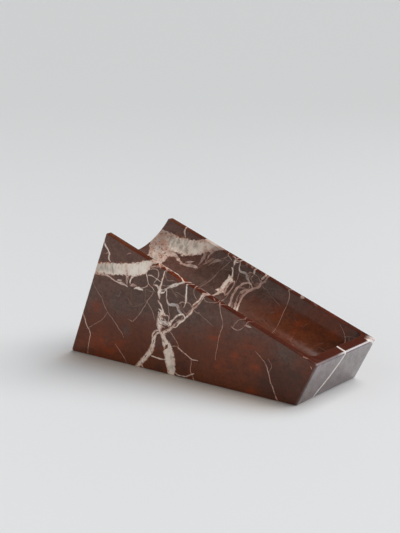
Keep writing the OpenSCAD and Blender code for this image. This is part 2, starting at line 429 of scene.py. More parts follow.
    (0.5, -0.1, [(139.4, 18.3, 0.32), (139.5, 15, 0.36), (138.8, 12, 0.32), (138.4, 9, 0.4),
     (138.6, 7, 0.4), (139.6, 5.7, 0.4)]),
    (0.85, 0.5, [(141.3, 6, 0.5), (139.3, 5.2, 0.55), (137, 4, 0.5), (134.5, 2.4, 0.5),
     (132, 1.9, 0.6), (129.5, 1.6, 0.6), (126, 1.8, 0.6), (123, 2.6, 0.5), (120.6, 3.6, 0.5)]),
    (0.7, 0.2, [(141.2, 3.8, 0.3), (141.5, 2, 0.6), (142, 0.4, 0.5), (142.5, -6, 0.3)]),
    # threads to the left of the trunk
    (0.5, -0.2, [(98.3, 69.4, 0.28), (96.6, 67, 0.32), (95, 64.6, 0.32), (91.3, 60.8, 0.28),
     (94.7, 57, 0.28), (97.3, 53, 0.28), (99.3, 49, 0.28), (100.3, 46, 0.24)]),
    (0.3, 0, [(90, 71, 0.2), (89.7, 65, 0.2), (88.7, 61.7, 0.16)]),
    (0.3, 0, [(91, 71.5, 0.24), (96, 70.4, 0.24), (101, 71, 0.24)]),
    (0.5, 0, [(91.3, 61, 0.24), (89.3, 56.3, 0.32), (86.7, 53.7, 0.32), (84.7, 50.3, 0.28),
     (81.3, 46.3, 0.28), (77.3, 42.3, 0.28), (75.3, 40.3, 0.28)]),
    (0.45, 0, [(73.5, 40.7, 0.4), (71.3, 41.2, 0.28), (69.3, 41.7, 0.2)]),
    (0.25, 0, [(69.5, 60.5, 0.2), (73, 56, 0.2), (75.5, 53.5, 0.2), (79.5, 55, 0.16),
     (88, 59, 0.16)]),
    (0.8, 0.1, [(-6, 50, 0.4), (4, 45, 0.4), (12, 41, 0.5), (15.8, 37.8, 0.6), (18.2, 34.2, 0.65),
     (19.6, 30, 0.55), (21.3, 26.4, 0.45), (23.6, 23.6, 0.45), (24.6, 20.3, 0.4),
     (23.6, 16.2, 0.34), (21.8, 9.5, 0.26), (21.1, 2, 0.2), (21, -4, 0.16)]),
    (0.5, 0.2, [(28, 70, 0.16), (30.4, 66.2, 0.2), (35, 60.3, 0.24), (40, 55.3, 0.24),
     (42.5, 48.7, 0.28), (46.7, 42.8, 0.28), (50, 40, 0.28), (55, 35.3, 0.28), (59.2, 30.8, 0.28),
     (62.5, 27.8, 0.24), (64.2, 24.5, 0.2)]),
    (0.38, 0.3, [(20, 24.5, 0.24), (27.5, 28.7, 0.24), (33.3, 32, 0.24), (38.3, 35.3, 0.24),
     (42.5, 38.7, 0.2), (45, 42.8, 0.2)]),
    (0.62, 0.6, [(54.6, 16.2, 0.28), (60, 10.3, 0.32), (64.2, 6.2, 0.36), (67.5, 1.2, 0.36),
     (70, -4, 0.24)]),
    (0.28, 0, [(56.7, 60.3, 0.2), (60, 60.3, 0.2), (61.3, 64.5, 0.16)]),
]
# Islands of dark stone inside the broad veins: points of x, z and half width.
islands = [
    [(108.4, 50.7, 0.7), (109.7, 50.4, 0.8)],
    [(107.4, 43, 0.3), (109.5, 42.5, 0.5), (112, 42.1, 0.6), (113.6, 43.2, 0.5)],
    [(111.4, 23.2, 1.2), (112.2, 24.2, 1.5), (112.9, 25.2, 1.3)],
    [(110, 72.4, 0.3), (110.9, 73, 0.3)],
    [(104.3, 49.5, 0.3), (105.1, 47.6, 0.35)],
    [(107.3, 47.6, 0.35), (108.8, 47.2, 0.4), (110.4, 47.7, 0.5)],
    [(104.6, 44.4, 0.25), (105.6, 43.2, 0.3)],
    [(112.2, 40.2, 0.35), (114.6, 41.4, 0.4), (116.8, 42.9, 0.35)],
    [(110.4, 35.2, 0.3), (112.2, 36.4, 0.35), (114, 37.9, 0.3)],
    [(106.4, 36.6, 0.4), (107.7, 37.5, 0.4)],
    [(109.4, 29.6, 0.35), (110.2, 28.2, 0.3)],
    [(98.4, 27.6, 0.3), (97.9, 25.6, 0.35)],
    [(95.9, 20.4, 0.3), (94.9, 18.4, 0.35)],
    [(90.2, 12.8, 0.35), (88.4, 10.6, 0.3)],
    [(148.4, 70.2, 0.3), (150, 72.2, 0.3), (151.2, 74, 0.25)],
    [(122.6, 46.2, 0.5), (124.2, 47, 0.4)],
    [(142.6, 64.4, 0.25), (144.2, 66.2, 0.3)],
    [(146.4, 68.2, 0.25), (147.2, 69.2, 0.3)],
]
# Veins that show on the low end: how far in millimetres each one reaches into the block, its
# strength and tint, then points of y, depth under the top and half width.
endVeins = [
    (34, 1, 0, [(-2.3, -6, 0.9), (-2.3, 0, 1.1), (-3.6, 6, 1.1), (-5.4, 12, 1.1), (-8, 17, 1.1),
     (-10.4, 22, 1.1), (-13.4, 27, 1.1), (-17.4, 33, 1.1), (-20, 37, 1.1), (-22, 42, 0.8),
     (-25, 52, 0.6)]),
    (6.5, 1, 0, [(35, -0.5, 0.4), (38, 0.2, 0.9), (41, 1.6, 1.4), (43.6, 3.3, 1.5),
     (46, 5, 1.2)]),
    (7.5, 0.9, 0.2, [(40, -0.6, 1), (43, -0.4, 1.7), (46, 0.4, 1.4)]),
]
# Streaks on the narrow land beside the trough: strength, tint, then points of the distance down
# the slope, y and half width.
landVeins = [
    # along the rim, at y near -40, this streak is partly a painted highlight of the rounded rim;
    # further on it is a real vein across the land
    (0.9, 0.2, [(56, -40, 0.6), (62, -40.2, 0.6), (67, -40.5, 0.5), (72, -40.4, 0.6),
     (76, -40.3, 0.8), (80, -40.8, 0.6), (83, -41.8, 0.45), (86, -43, 0.45), (88.5, -44.2, 0.5),
     (91, -45.8, 0.7), (93, -48, 0.7)]),
    (0.85, 0.3, [(59, -40, 0.7), (62, -43, 0.8), (65, -46, 0.6), (67, -48, 0.4)]),
    (0.8, 0.6, [(66, -40.4, 0.5), (69.5, -42.4, 0.8), (71, -44.6, 0.7), (72.5, -48, 0.4)]),
    # this streak along the rim is partly a real vein and partly a painted highlight of the rounded
    # rim
    (0.75, -0.2, [(102.5, -39.8, 0.4), (106, -40.2, 0.5), (110, -40.1, 0.6), (114, -40.1, 0.7),
     (117, -40.3, 0.4)]),
    (0.6, 0.3, [(101.5, -40, 0.4), (102, -42.4, 0.4), (103.4, -45.6, 0.4), (105, -48, 0.3)]),
    (0.6, 0.4, [(128.8, -42.8, 0.3), (130.2, -44.6, 0.45), (132, -48, 0.35)]),
    (0.6, 0, [(122, -42.6, 0.3), (123.6, -43.2, 0.5), (124.6, -44, 0.3)]),
]
# Soft coloured spots: x, z and radius.
coolSpots = [
    (34, 84, 3), (38, 82, 3.5), (44, 85, 3.5), (48, 83, 2.5), (53, 86, 3.5), (54, 82, 2),
    (61, 86.5, 2), (117, 16, 1.8), (118.5, 7, 2.2), (114.5, 20.5, 1), (64, 73, 1.5),
]
whiteSpots = [
    (77, 87, 5), (88, 90, 5), (61, 83, 2), (105, 71, 2.5), (107, 53.5, 2.5), (105, 47, 2.5),
    (116, 45, 2), (151.5, 76.5, 2.5), (120, 79.3, 3), (81, 71, 3), (109, 31, 3), (116, 13, 5),
    (115, 20, 4), (118, 6, 4), (113, 27, 2), (97, 25, 2.5), (94.5, 17, 3), (88, 10, 3),
    (105.5, 43, 4), (47, 100, 6), (135, 80, 4), (134, 70, 3),
]
# the spot at x 252, z 41 colours a painted highlight on the front's upper edge
rustSpots = [
    (37, 87.6, 2), (41, 87.5, 2), (44.5, 87.6, 1.6), (48, 89, 1.8), (68, 88.6, 1.4), (69, 85, 1.3),
    (69, 82, 1.4), (77, 73, 2.6), (96, 75.4, 2), (101, 93, 3), (108, 94, 3), (122, 46.5, 2),
    (132, 59, 2.5), (136.5, 59, 2.5), (111.5, 40.5, 1.5), (145, 66, 2.5), (252, 41, 2.5),
    (34, 77.5, 3), (109, 28.5, 1.6),
]
flameSpots = [
    (29, 14, 8), (40, 18, 9), (50, 14, 9), (58, 21, 7), (36, 6, 8), (12, 9, 5), (32, 46, 5),
    (201, 3, 5), (194, 8, 4), (198, 39, 7), (186, 30, 6), (205, 26, 5), (163, 42, 7), (170, 16, 9),
    (118, 89, 4), (104, 97, 4), (127, 86, 4),
]
greyZones = [
    (122, 73, 24), (99, 78, 15), (103, 26, 9), (86, 64, 13), (143, 68, 14), (116, 52, 9),
    (117, 33, 6), (20, 60, 12), (240, 24, 14), (233, 42, 9), (60, 55, 11), (66, 30, 6),
]
darkZones = [
    (237, 10, 16), (214, 10, 11), (104, 5, 5), (130, 10, 8), (247, 18, 12), (222, 24, 9),
]
veining = {
    "sideShear": 0.8,           # how far a vein drifts lengthwise per depth, near the front
    "shearFade": 55.0,          # mm of depth over which that drift dies out
    "rise": 10.0,               # mm that veins climb from the front to the back
    "sway": 8.0,                # mm that they wander by on the way
    "swayGrowth": 0.8,          # the power of the depth by which that grows
    "backFading": (0.35, 0.5),  # how much they fade by the back, and how much that varies
    "mostFading": 0.85,
    "clearance": 2.0,           # veins nearer than this to each other go in different layers
    "noVein": (60, 60, 0.1),    # the side distance, distance and half width where none is near
    "thinnest": 0.05,           # mm: a vein's smallest half width
    "redHeights": (67, 15),     # mm above the foot between which the stone turns red
    "endWander": 0.6,           # mm that the low end's veins wander by, and those on the land
    "landWander": 0.25,
    "endFade": 4.0,             # mm over which the low end's veins die out inside
}
# The slow wanderings: size in mm and seed.
wanders = {
    "lengthwise": (22, 5),
    "upward": (20, 8),
    "fading": (16, 3),
    "lowEnd": (9, 4),
    "land": (6, 9),
}
landLook = {
    "skin": (1.2, 0.2),         # mm under the top between which the lands' own colours come in
    "veinSkin": (1.4, 0.8),     # and their own veins
    "fading": 0.3,              # how much the front's veins fade there
    "red": 0.9,                 # how red the lands are
    "darkAndShadeFrom": (58, 83),       # x between which they darken: partly their own colour, partly painted shade
    "darkerAndShadeFrom": (100, 160),   # x between which they darken once more
    "darkAndShadeShares": (0.6, 0.35),    # by how much each time
}
lowEndLook = {
    "face": (-1.6, -0.4),       # mm before the end's plane between which its sheen and its partly painted mauve come in
    "whiteFrom": (225, 235),    # x between which the veins turn whiter
    "highlightInset": 1.0,           # mm from the upper corner to the painted highlight line along it
    "highlightReach": (0.96, 0.36),  # mm from that line between which it comes in
    "edgeDepth": 1.0,           # mm down that it reaches
    "highlightFrom": 245,            # x where it starts
    "highlightAcross": (-14, -4),    # y between which it gets stronger
    "highlightStrength": (0.2, 0.65),
}


# A smooth wandering value for points: a sum of sines that run in fixed random directions.
def wander(points, size, seed, sines=6, level=2.4):
    draw = np.random.default_rng(seed)
    ways = draw.normal(size=(sines, 3)) / size
    starts = draw.uniform(0, 2 * math.pi, sines)
    return np.sin(points @ ways.T + starts).sum(axis=1) / level


# How far a value has come from start to stop, from 0 to 1.
def ramp(value, start, stop):
    return np.clip((value - start) / (stop - start), 0, 1)


# The curve through a vein's points, with close points on a cubic between each pair.
def smoothLine(points, step=2.0):
    p = np.array(points, float)
    p = np.vstack([2 * p[0] - p[1], p, 2 * p[-1] - p[-2]])
    p[:, 2] = np.maximum(p[:, 2], veining["thinnest"])
    parts = []
    for a, b, c, d in zip(p[:-3], p[1:-2], p[2:-1], p[3:]):
        count = max(1, int(np.linalg.norm((c - b)[:2]) / step))
        t = (np.arange(count) / count)[:, None]
        parts.append(0.5 * (2 * b + (c - a) * t + (2 * a - 5 * b + 4 * c - d) * t ** 2
                            + (3 * b - a - 3 * c + d) * t ** 3))
    return np.vstack(parts + [p[-2:-1]])


# The same veins with smooth curves.
def smoothed(veins):
    return [(power, tint, smoothLine(line)) for power, tint, line in veins]


# For points in the plane of the veins: the distance to the nearest vein with the side as its
# sign, the plain distance and that vein's half width, and then its strength and its share of
# pink and of cool grey.
def veinField(plane, veins):
    field = np.tile(np.array(veining["noVein"], float), (len(plane), 1))
    power = np.zeros((len(plane), 3))
    for strength, tint, line in veins:
        own = [strength, strength * max(tint, 0), strength * max(-tint, 0)]
        for a, b in zip(line[:-1], line[1:]):
            way = (b - a)[:2]
            length = max(float(np.hypot(*way)), tiny)
            arm = plane - a[:2]
            t = np.clip(arm @ way / length ** 2, 0, 1)
            distance = np.hypot(arm[:, 0] - t * way[0], arm[:, 1] - t * way[1])
            side = np.sign(way[0] * arm[:, 1] - way[1] * arm[:, 0])
            width = a[2] + t * (b[2] - a[2])
            found = distance < field[:, 1]
            field[found] = np.stack([side * distance, distance, width], axis=-1)[found]
            power[found] = own
    return field, power


# The smallest gap between two veins: the distance of their points less both half widths.
def veinGap(line, other):
    apart = np.hypot(line[:, None, 0] - other[None, :, 0], line[:, None, 1] - other[None, :, 1])
    return np.min(apart - line[:, None, 2] - other[None, :, 2])


# Puts veins that touch in different layers, because a layer knows only its nearest vein.
def layVeins(veins):
    layers = []
    for vein in veins:
        for layer in layers:
            if min(veinGap(vein[2], other[2]) for other in layer) > veining["clearance"]:
                layer.append(vein)
                break
        else:
            layers.append([vein])
    return layers


# Soft round spots: the sum of e to the minus squared distance over squared radius, up to 1.
def spotField(plane, spots):
    total = np.zeros(len(plane))
    for spotX, spotZ, radius in spots:
        total += np.exp(-((plane[:, 0] - spotX) ** 2 + (plane[:, 1] - spotZ) ** 2) / radius ** 2)
    return np.minimum(total, 1)


# Keeps values on the mesh's points for the material to read.
def keep(name, values):
    kind, part = ("FLOAT_VECTOR", "vector") if values.ndim == 2 else ("FLOAT", "value")
    blockMesh.attributes.new(name, kind, "POINT").data.foreach_set(part, values.ravel())


# Keeps a layer of veins, with its power dimmed by a share for each point.
def keepLayer(name, plane, veins, dimming):
    field, power = veinField(plane, veins)
    keep(f"vein{name}", field)
    keep(f"power{name}", power * dimming[:, None])
    layerNames.append(name)


# Every point of the stone looks up the front's pattern, drifted and bent by its depth.
depth = rounded[:, 1] + halfWidth
share = np.clip(depth / (2 * halfWidth), 0, 1)
drift = veining["sideShear"] * depth * np.exp(-depth / veining["shearFade"])
sway = veining["sway"] * share ** veining["swayGrowth"]
plane = np.stack([
    rounded[:, 0] - drift + sway * wander(rounded, *wanders["lengthwise"]),
    rounded[:, 2] - veining["rise"] * share ** 2 + sway * wander(rounded, *wanders["upward"]),
], axis=-1)
x = rounded[:, 0]
s, y, d = toSlope(rounded)
onLand = ramp(d, *landLook["skin"])
least, varied = veining["backFading"]
fading = least + varied * wander(rounded, *wanders["fading"])
fading = 1 - share * np.clip(fading, 0, veining["mostFading"])
fading *= 1 - landLook["fading"] * onLand
layerNames = []
for k, layer in enumerate(layVeins(smoothed(frontVeins))):
    keepLayer(k, plane, layer, fading)
print("veins:", len(frontVeins), "in", len(layerNames), "layers")
keep("island", veinField(plane, [(1, 0, smoothLine(line)) for line in islands])[0])

# the low end: its own veins, its sheen, with a mauve in its colour that is partly a painted
# reflection, its whiter veins and a painted highlight line along its upper edge
endPlane = np.stack([y + veining["endWander"] * wander(rounded, *wanders["lowEnd"]), d], axis=-1)
for k, (reach, *vein) in enumerate(endVeins):
    inside = slopeLength - reach
    keepLayer(f"End{k}", endPlane, smoothed([vein]), ramp(s, inside, inside + veining["endFade"]))
beforeEnd = x - footLow[0] - (topLow[0] - footLow[0]) * rounded[:, 2] / topLow[1]
keep("polish", ramp(beforeEnd, *lowEndLook["face"]))
keep("endPart", ramp(x, *lowEndLook["whiteFrom"]))
# a painted highlight: a pale line along the low end's rounded upper edge, where the polish catches
# light
highlightLine = ramp(np.abs(s - slopeLength + lowEndLook["highlightInset"]), *lowEndLook["highlightReach"])
highlightLine *= (d < lowEndLook["edgeDepth"]) & (x > lowEndLook["highlightFrom"])
least, more = lowEndLook["highlightStrength"]
keep("edge", highlightLine * (least + more * ramp(y, *lowEndLook["highlightAcross"])))

# the lands: their own veins, and a red that darkens towards the low end, partly the stone's own
# colour and partly painted shade and dark reflection
landPlane = np.stack([s, y + veining["landWander"] * wander(rounded, *wanders["land"])], axis=-1)
keepLayer("Land", landPlane, smoothed(landVeins), ramp(d, *landLook["veinSkin"]))
first, more = landLook["darkAndShadeShares"]
dark = ramp(x, *landLook["darkAndShadeFrom"]) * (first + more * ramp(x, *landLook["darkerAndShadeFrom"]))
keep("landTintAndShade", onLand * dark)
land = landLook["red"] * onLand

# spots and zones of colour
keep("bright", spotField(plane, whiteSpots))
spotKinds = (coolSpots, rustSpots, flameSpots)
keep("spots", np.stack([spotField(plane, spots) for spots in spotKinds], axis=-1))
red = np.maximum(ramp(plane[:, 1], *veining["redHeights"]), land)
grey, darkest = spotField(plane, greyZones) * (1 - land), spotField(plane, darkZones)
keep("zones", np.stack([grey, red, darkest], axis=-1))

marble = {
    # the stone
    "pinkBrown": (0.140, 0.070, 0.053, 1),
    "greyBrown": (0.114, 0.066, 0.051, 1),
    "redBrown": (0.132, 0.034, 0.012, 1),
    "darkBrown": (0.060, 0.021, 0.013, 1),
    "flame": (0.24, 0.042, 0.009, 1),
    # the lands' dark brown: partly their own colour, partly painted shade and dark reflection
    "landBrownAndShade": (0.075, 0.011, 0.003, 1),
    # the low end's mauve: partly the stone's own tint, partly a painted reflection
    "endMauveAndReflection": (0.128, 0.088, 0.118, 1),
    # the colour of the painted highlight along the low end's upper edge
    "paintedHighlight": (0.76, 0.72, 0.73, 1),
    "threadPink": (0.34, 0.20, 0.165, 1),
    # the veins
    "ivory": (0.94, 0.80, 0.685, 1),
    "white": (1.0, 0.90, 0.79, 1),
    "endWhite": (0.89, 0.885, 0.86, 1),
    "coolGrey": (0.46, 0.47, 0.48, 1),
    "mossGrey": (0.385, 0.34, 0.28, 1),
    "pink": (0.62, 0.36, 0.275, 1),
    "thinVein": (0.74, 0.46, 0.37, 1),
    "rust": (0.36, 0.12, 0.055, 1),
    "speck": (0.24, 0.14, 0.105, 1),
    # the polish
    "veinRoughness": 0.06,      # how much rougher the veins are
    "ior": 1.52,
    "specular": 0.22,
    "coatRoughness": 0.08,      # the coat lies on the low end alone
    "coatIor": 1.6,
    "bump": 0.12,
    "bumpHeight": 0.0001,       # metres
    "veinRelief": -0.6,
    "grainRelief": 0.25,
}
# Noises: size of the lumps in mm, detail, roughness and distortion.
noises = {
    "fineWobble": (3.2, 3, 0.55, 0),
    "wideWobble": (11, 2, 0.55, 0),
    "swell": (5, 2, 0.55, 0),
    "ragged": (3.0, 3, 0.55, 0),
    "faint": (3.6, 3, 0.6, 0),
    "big": (34, 5, 0.6, 0.7),
    "fine": (6, 6, 0.65, 0.4),
    "grain": (1.9, 4, 0.6, 0),
    "streaks": (3.2, 5, 0.65, 0.3),
    "flames": (8, 7, 0.7, 1),
    "threads": (20, 2, 0.55, 0),
    "patches": (4.5, 4, 0.6, 0.5),
    "stripes": (3.2, 4, 0.6, 0),
    "specks": (1.8, 3, 0.6, 0),
    "smears": (5, 5, 0.65, 0),
}
# Steps that turn a noise, a distance in mm or a depth in metres into a share: where they start
# and stop, and the share there and there, which is 0 and 1 if not given.
steps = {
    "insideVein": (0.15, -0.15),
    "broadVein": (0.5, 1.6),
    "faint": (0.52, 0.36, 0, 0.6),
    "grey": (0.05, 0.75),
    "red": (0, 0.8),
    "dark": (0.58, 0.34, 0, 0.4),
    "flame": (0.38, 0.6),
    "flameDepth": (-0.03, 0.03, 1, 0.6),
    "grain": (0.3, 0.7, 0.86, 1.14),
    "streaks": (0.3, 0.7, 0.88, 1.1),
    "crack": (0.016, 0),
    "crackPlaces": (0.46, 0.66, 0, 0.5),
    "crackDepth": (-0.0455, -0.03, 0.25, 1),
    "coolPatches": (0.56, 0.78, 0, 0.16),
    "coolVein": (0, 0.85, 0, 0.7),
    "moss": (0.34, 0.6, 0.15, 0.95),
    "blush": (0.5, 0.66, 0, 0.3),
    "margin": (-1.2, 0.1),
    "marginPatches": (0.35, 0.6, 0.1, 0.75),
    "marginCool": (0.7, 0.1, 0.15, 1),
    "pinkPatches": (0.35, 0.6, 0.35, 0.85),
    "slim": (0.95, 0.6),
    "slimCool": (0.6, 0.1),
    "specks": (0.52, 0.64),
    "speckReach": (-2.5, -0.2, 0.12, 1),
    "rust": (0.35, 0.65, 0, 0.9),
    "halo": (0.42, 0.66, 0, 0.75),
    "haloReach": (1.6, 0.1),
    "gloss": (0.3, 0.7, 0.1, 0.18),
    "smears": (0.36, 0.62, 0.7, 1),
}
weights = {
    "fineWobble": 1.4,      # mm that a vein's path wobbles by, in small bends and in wide ones
    "wideWobble": 1.2,
    "leastSwell": 0.68,     # a vein's width is multiplied by this plus a noise times the next
    "swell": 0.64,
    "ragged": 1.7,          # mm by which a broad vein's edge is ragged
    "nearer": 0.9,          # mm by which a wobble may bring a vein nearer
    "weakVein": 6.0,        # mm by which a vein without strength counts as farther off
    "greyLumps": 1.3,       # how far lumps shift the grey zones, and streaks the red ones
    "redStreaks": 0.7,
    "greyOverRed": 0.4,     # how far grey holds red back
    "endMauveAndReflection": 0.75,       # mauve in the low end's colour: partly its own tint, partly a painted reflection of the pale table
    "dark": 0.7,            # dark brown in the dark zones
    "flameAll": 0.06,       # flames everywhere, and where the spots are
    "flameSpots": 0.8,
    "brightSpecks": 0.4,    # how far specks fade where a vein is white
    "rustHalo": 0.6,        # rust in the stone beside the rust spots
}
stretches = {
    "drawn": (0.35, 0.5, 1.0),      # the stone's streaks run lengthwise
    "upright": (1.0, 1.0, 0.3),     # the broad veins' stripes stand up
    "smear": (1.0, 0.3, 1.0),
    "smearTurn": 0.9,               # radians
    "bendScale": 55.0,              # the hair-fine threads' bends and net, in lumps per metre
    "bendDetail": 3.0,
    "bendBy": (0.014, 0.014, 0.014),
    "netScale": 38.0,
}

# The functions below put their nodes into this tree, which is set anew for each material.
tree = bpy.data.node_groups.new("veinLayer", "ShaderNodeTree")


# A node with its settings and its inputs. An input is a number, a colour or a socket, and goes
# by its name with _ for a blank, or by its place as n0, n1 and so on.
def make(kind, settings=None, **inputs):
    node = tree.nodes.new("ShaderNode" + kind)
    for key, value in (settings or {}).items():
        setattr(node, key, value)
    for key, value in inputs.items():
        byPlace = key[0] == "n" and key[1:].isdigit()
        socket = node.inputs[int(key[1:]) if byPlace else key.replace("_", " ")]
        if isinstance(value, bpy.types.NodeSocket):
            tree.links.new(value, socket)
        else:
            socket.default_value = value
    return node


# One piece of arithmetic on numbers.
def calc(operation, *values, kind="Math"):
    inputs = {f"n{k}": value for k, value in enumerate(values)}
    return make(kind, {"operation": operation}, **inputs).outputs[0]


# The same on vectors.
def vectorCalc(operation, *values):
    return calc(operation, *values, kind="VectorMath")


# The product of all values.
def times(first, *others):
    for other in others:
        first = calc("MULTIPLY", first, other)
    return first


# The sum of all values.
def plus(first, *others):
    for other in others:
        first = calc("ADD", first, other)
    return first


# What a value leaves of one.
def restOf(value):
    return calc("SUBTRACT", 1.0, value)


# A smooth step between two values of a number: three squares less two cubes of its share.
def ease(value, start, stop, first=0.0, last=1.0):
    return make("MapRange", {"interpolation_type": "SMOOTHSTEP"}, Value=value,
                From_Min=start, From_Max=stop, To_Min=first, To_Max=last).outputs[0]


# The same by one of the named steps.
def step(name, value):
    return ease(value, *steps[name])


# One of the noises, from 0 to 1, at a place.
def noise(name, where):
    size, detail, roughness, distortion = noises[name]
    return make("TexNoise", Vector=where, Scale=1 / (size * mm), Detail=detail,
                Roughness=roughness, Distortion=distortion).outputs[0]


# A noise less a half, times one of the weights.
def centred(value, weight):
    return times(calc("SUBTRACT", value, 0.5), weights[weight])


# A share of the second colour over the first.
def blend(share, first, second, kind="MIX"):
    return make("Mix", {"data_type": "RGBA", "blend_type": kind},
                n0=share, n6=first, n7=second).outputs[2]


# A share of one of the marble's colours over what is there, with a limit to the share.
def lay(under, colour, share, most=1.0):
    share = calc("MINIMUM", share, most) if most < 1 else share
    return blend(share, under, marble[colour])


# What the mesh's points keep under this name.
def kept(name, output="Fac"):
    return make("Attribute", {"attribute_name": name}).outputs[output]


# The three parts of a vector.
def split(vector):
    return make("SeparateXYZ", n0=vector).outputs


# Clears the tree of a material or a world for its own nodes.
def emptyTree(owner):
    owner.use_nodes = True
    owner.node_tree.nodes.clear()
    return owner.node_tree


# One layer of veins: the distance from the vein's ragged edge, how much vein there is, with its
# pink and its cool share, and how much of it is a broad vein.
veinNodes = tree
face = tree.interface
for name, kind in (("Field", "Vector"), ("Power", "Vector"), ("Wobble", "Float"),
                   ("Swell", "Float"), ("Ragged", "Float")):
    face.new_socket(name, in_out="INPUT", socket_type="NodeSocket" + kind)
for name, kind in (("Edge", "Float"), ("Amount", "Vector"), ("Broad", "Float")):
    face.new_socket(name, in_out="OUTPUT", socket_type="NodeSocket" + kind)
source = tree.nodes.new("NodeGroupInput").outputs
goal = tree.nodes.new("NodeGroupOutput").inputs
sideways, distance, halfVein = split(source["Field"])
across = calc("ABSOLUTE", plus(sideways, source["Wobble"]))
away = calc("MAXIMUM", across, calc("SUBTRACT", distance, weights["nearer"]))
broad = step("broadVein", halfVein)
width = plus(times(halfVein, source["Swell"]), times(broad, source["Ragged"]))
edge = calc("SUBTRACT", away, width)
inside = step("insideVein", edge)
amount = make("VectorMath", {"operation": "SCALE"}, n0=source["Power"], Scale=inside)
tree.links.new(edge, goal["Edge"])
tree.links.new(amount.outputs[0], goal["Amount"])
tree.links.new(times(broad, inside), goal["Broad"])

stone = bpy.data.materials.new("marble")
tree = emptyTree(stone)
place = make("TexCoord").outputs["Object"]
wobble = plus(centred(noise("fineWobble", place), "fineWobble"),
              centred(noise("wideWobble", place), "wideWobble"))
swell = plus(weights["leastSwell"], times(noise("swell", place), weights["swell"]))
ragged = centred(noise("ragged", place), "ragged")
nearest = amount = broad = None
for name in layerNames:
    power = kept(f"power{name}", "Vector")
    edge, more, wide = make("Group", {"node_tree": veinNodes}, Power=power,
                            Field=kept(f"vein{name}", "Vector"), Wobble=wobble, Swell=swell,
                            Ragged=ragged).outputs
    edge = plus(edge, times(restOf(split(power)[0]), weights["weakVein"]))
    if nearest is None:
        nearest, amount, broad = edge, more, wide
    else:
        nearest = calc("MINIMUM", nearest, edge)
        amount = vectorCalc("MAXIMUM", amount, more)
        broad = calc("MAXIMUM", broad, wide)
whole, pinkness, coolness = split(amount)
hole = make("Group", {"node_tree": veinNodes}, Field=kept("island", "Vector"),
            Power=(1, 0, 0), Wobble=wobble, Swell=swell, Ragged=0.0).outputs["Amount"]
faint = times(step("faint", noise("faint", place)), restOf(broad))
amount = times(whole, restOf(split(hole)[0]), restOf(faint))
coolSpot, rustSpot, flameSpot = split(kept("spots", "Vector"))
greyZone, redZone, darkZone = split(kept("zones", "Vector"))
bright, polish = kept("bright"), kept("polish")
depthPart = split(place)[1]

# the stone: pink brown, grey brown round the veins, red brown low down, with flames and mottling
fine, grain, patch = noise("fine", place), noise("grain", place), noise("patches", place)
drawn = vectorCalc("MULTIPLY", place, stretches["drawn"])
streaks = noise("streaks", drawn)
greyPart = plus(greyZone, centred(noise("big", place), "greyLumps"))
ground = blend(step("grey", greyPart), marble["pinkBrown"], marble["greyBrown"])
redPart = calc("SUBTRACT", redZone, times(greyZone, weights["greyOverRed"]))
ground = lay(ground, "redBrown", step("red", plus(redPart, centred(streaks, "redStreaks"))))
# the lands darken towards the low end: partly their own colour, partly painted shade
ground = lay(ground, "landBrownAndShade", kept("landTintAndShade"))
# the low end's mauve: partly its own tint, partly a painted reflection of the pale table
ground = lay(ground, "endMauveAndReflection", times(polish, weights["endMauveAndReflection"]))
ground = lay(ground, "darkBrown", plus(times(darkZone, weights["dark"]), step("dark", fine)),
             most=0.85)
warmth = plus(weights["flameAll"], times(flameSpot, weights["flameSpots"]))
warmth = times(step("flame", noise("flames", drawn)), warmth, step("flameDepth", depthPart))
ground = lay(ground, "flame", warmth, most=0.8)
speckle = times(step("grain", grain), step("streaks", streaks))
speckle = make("CombineXYZ", n0=speckle, n1=speckle, n2=speckle).outputs[0]
ground = blend(1.0, ground, speckle, "MULTIPLY")
# hair-fine threads through all of the stone
bend = make("TexNoise", Vector=place, Scale=stretches["bendScale"],
            Detail=stretches["bendDetail"]).outputs[1]
bent = vectorCalc("MULTIPLY_ADD", bend, stretches["bendBy"], place)
cracks = make("TexVoronoi", {"feature": "DISTANCE_TO_EDGE"}, Vector=bent,
              Scale=stretches["netScale"]).outputs["Distance"]
threads = times(step("crack", cracks), step("crackPlaces", noise("threads", place)),
                step("crackDepth", depthPart))
ground = lay(ground, "threadPink", threads)

# the veins: ivory, with cool patches, pink margins, specks and a rusty halo in the stone beside
stripes = noise("stripes", vectorCalc("MULTIPLY", place, stretches["upright"]))
cool = plus(times(broad, step("coolPatches", patch)), step("coolVein", coolness))
vein = lay(marble["ivory"], "white", bright)
vein = lay(vein, "endWhite", kept("endPart"))
vein = lay(vein, "coolGrey", cool, most=0.85)
vein = lay(vein, "mossGrey", times(coolSpot, step("moss", stripes)))
vein = lay(vein, "pink", times(broad, step("blush", stripes)))
margin = times(step("margin", nearest), step("marginPatches", fine),
               step("marginCool", coolness), broad)
margin = plus(margin, times(pinkness, step("pinkPatches", patch)))
vein = lay(vein, "pink", margin, most=0.85)
slim = times(step("slim", whole), restOf(broad), step("slimCool", coolness))
vein = lay(vein, "thinVein", slim)
specks = times(step("specks", noise("specks", place)),
               times(broad, step("speckReach", nearest)),
               restOf(times(bright, weights["brightSpecks"])))
vein = lay(vein, "speck", specks)
vein = lay(vein, "rust", times(rustSpot, step("rust", patch)))
halo = times(step("haloReach", nearest),
             plus(step("halo", fine), times(rustSpot, weights["rustHalo"])))
ground = lay(ground, "rust", halo, most=0.8)
# the painted highlight line along the low end's upper edge
ground = lay(ground, "paintedHighlight", kept("edge"))
colour = blend(amount, ground, vein)

